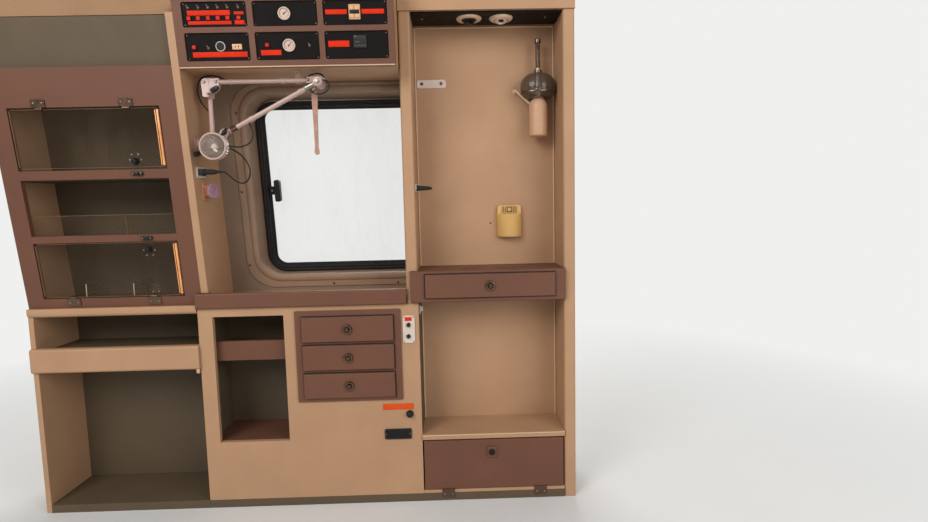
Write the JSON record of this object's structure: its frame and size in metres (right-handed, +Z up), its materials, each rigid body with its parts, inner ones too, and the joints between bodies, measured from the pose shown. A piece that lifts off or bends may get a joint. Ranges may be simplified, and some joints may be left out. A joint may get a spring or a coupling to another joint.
{
  "type": "ambulance left side wall unit",
  "caption": "Side wall of an ambulance's patient room: window with seal, cabinet, drawers, niche column, switch console and jointed lamp on a leaning panel.",
  "frame": {"origin": "on the floor, at the middle of the length, in the plane of the furniture fronts", "axes": "+X along the vehicle to the right as seen from the aisle, +Y from the aisle into the wall, +Z up"},
  "size_m": [1.96, 0.4716, 1.83],
  "materials": {
    "outer_paint": "gloss",
    "frame_metal": "satin",
    "panel_beige": "satin",
    "panel_inner": "satin",
    "face_brown": "satin",
    "lining_grey": "satin",
    "surround_grey": "satin",
    "rubber_black": "matte",
    "window_pane": "clear",
    "flap_clear": "clear",
    "module_black": "satin",
    "control_cream": "gloss",
    "instrument_white": "gloss",
    "lamp_enamel": "gloss",
    "lamp_glass": "clear",
    "runner_metal": "satin",
    "fitting_black": "satin",
    "strap_grey": "matte",
    "holder_yellow": "gloss",
    "bottle_beige": "gloss",
    "dome_clear": "gloss",
    "ceiling_black": "gloss",
    "spot_rim": "polished"
  },
  "bodies": {
    "wall": {"base_face": "panel_beige", "base_shelves": "face_brown", "base_uprights": "panel_inner", "body_skin": "outer_paint", "cabinet_back": "panel_inner", "cabinet_face": "face_brown", "cabinet_shelves": "panel_inner", "cabinet_uprights": "panel_beige", "ceiling_plate": "ceiling_black", "column_back": "panel_beige", "column_ledge": "panel_beige", "column_uprights": "panel_beige", "console_frame": "face_brown", "console_housing": "panel_beige", "console_instruments": "instrument_white", "console_modules": "module_black", "console_switches": "control_cream", "control_plate": "control_cream", "drawer_housing": "face_brown", "drawer_runners": "runner_metal", "drawer_surround": "face_brown", "flap_hinges": "runner_metal", "flow_bottle": "bottle_beige", "flow_dome": "dome_clear", "flow_meter": "control_cream", "headers": "panel_beige", "inner_lining": "lining_grey", "lamp_lead": "rubber_black", "lamp_mount": "lamp_enamel", "lamp_plug": "rubber_black", "lamp_socket": "fitting_black", "niche_fittings": "fitting_black", "plinth": "panel_inner", "recess_panel": "panel_inner", "shelf_lip": "panel_beige", "spot_lamps": "spot_rim", "vent": "fitting_black", "wall_frame": "frame_metal", "wall_holder": "holder_yellow", "wall_hooks": "fitting_black", "window_glass": "window_pane", "window_latch": "fitting_black", "window_seal": "rubber_black", "window_surround": "surround_grey", "worktop": "panel_beige", "worktop_fascia": "face_brown"},
    "upper_flap": {"upper_flap": "flap_clear", "upper_flap_knob": "fitting_black"},
    "lower_flap": {"lower_flap": "flap_clear", "lower_flap_knob": "fitting_black"},
    "hatch": {"lower_hatch": "face_brown"},
    "drawer_top": {"drawer_1": "face_brown"},
    "drawer_middle": {"drawer_2": "face_brown"},
    "drawer_low": {"drawer_3": "face_brown"},
    "column_drawer": {"wide_drawer": "face_brown"},
    "lamp_boom": {"lamp_boom": "lamp_enamel"},
    "lamp_arm": {"lamp_arm": "lamp_enamel"},
    "lamp_head": {"lamp_head": "lamp_enamel", "lamp_lens": "lamp_glass"},
    "strap": {"hanging_strap": "strap_grey"}
  },
  "joints": [
    {"name": "upper_flap_hinge", "type": "hinge", "parent": "wall", "child": "upper_flap", "pos_m": [-0.6725, -0.08358, 1.44257], "axis": [-1, 0, 0], "range_deg": [0, 90]},
    {"name": "lower_flap_hinge", "type": "hinge", "parent": "wall", "child": "lower_flap", "pos_m": [-0.6725, 0.00094, 0.80057], "axis": [1, 0, 0], "range_deg": [0, 90]},
    {"name": "hatch_hinge", "type": "hinge", "parent": "wall", "child": "hatch", "pos_m": [0.674, -0.0033, 0.042], "axis": [1, 0, 0], "range_deg": [0, 90]},
    {"name": "drawer_top_slide", "type": "slide", "parent": "wall", "child": "drawer_top", "axis": [0, -1, 0], "range_m": [0, 0.15]},
    {"name": "drawer_middle_slide", "type": "slide", "parent": "wall", "child": "drawer_middle", "axis": [0, -1, 0], "range_m": [0, 0.15]},
    {"name": "drawer_low_slide", "type": "slide", "parent": "wall", "child": "drawer_low", "axis": [0, -1, 0], "range_m": [0, 0.15]},
    {"name": "column_drawer_slide", "type": "slide", "parent": "wall", "child": "column_drawer", "axis": [0, -1, 0], "range_m": [0, 0.14]},
    {"name": "boom_swing", "type": "hinge", "parent": "wall", "child": "lamp_boom", "pos_m": [-0.284, -0.005, 1.346], "axis": [0, 0, -1], "range_deg": [0, 90]},
    {"name": "arm_fold", "type": "hinge", "parent": "lamp_boom", "child": "lamp_arm", "pos_m": [0.1, -0.058, 1.52], "axis": [0, -1, 0], "range_deg": [0, 90]},
    {"name": "head_tilt", "type": "hinge", "parent": "lamp_arm", "child": "lamp_head", "pos_m": [-0.214, -0.072, 1.358], "axis": [0, 1, 0], "range_deg": [-30, 45]},
    {"name": "strap_swing", "type": "hinge", "parent": "lamp_boom", "child": "strap", "pos_m": [0.08, -0.032, 1.49], "axis": [0, 1, 0], "range_deg": [-25, 25]}
  ],
  "couplings": [
    {"joint": "arm_fold", "follows": "boom_swing", "ratio": 1}
  ]
}
